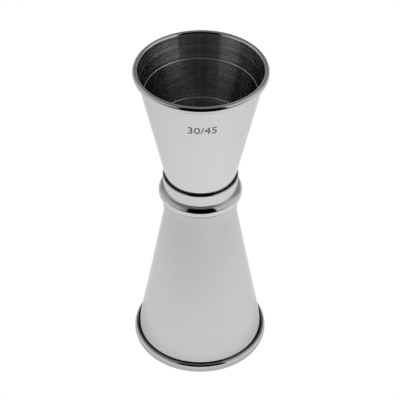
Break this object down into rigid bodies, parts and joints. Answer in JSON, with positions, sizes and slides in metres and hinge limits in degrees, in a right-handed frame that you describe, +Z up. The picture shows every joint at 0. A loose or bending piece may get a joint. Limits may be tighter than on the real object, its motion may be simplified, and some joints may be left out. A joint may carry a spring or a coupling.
{
  "type": "bar jigger",
  "caption": "Double-ended measuring cup for bar work: a small and a large conical measure joined at the neck by a beaded collar, with curled rims, in polished stainless steel.",
  "frame": {"origin": "on the table, in the middle of the large measure's rim, which the jigger stands on", "axes": "+Z straight up through both measures, towards the small measure's mouth; X and Y are alike, because the object is round"},
  "size_m": [0.0444, 0.0444, 0.1088],
  "materials": {
    "cup_steel": "18-8 stainless steel, mirror polished outside, fine circumferential satin inside",
    "collar_steel": "18-8 stainless steel, mirror polished",
    "braze_filler": "silver brazing filler, as set"
  },
  "bodies": {
    "root": {"upper_cup": "cup_steel", "lower_cup": "cup_steel", "waist_collar": "collar_steel", "floor_braze": "braze_filler", "upper_collar_braze": "braze_filler", "lower_collar_braze": "braze_filler"}
  },
  "joints": []
}
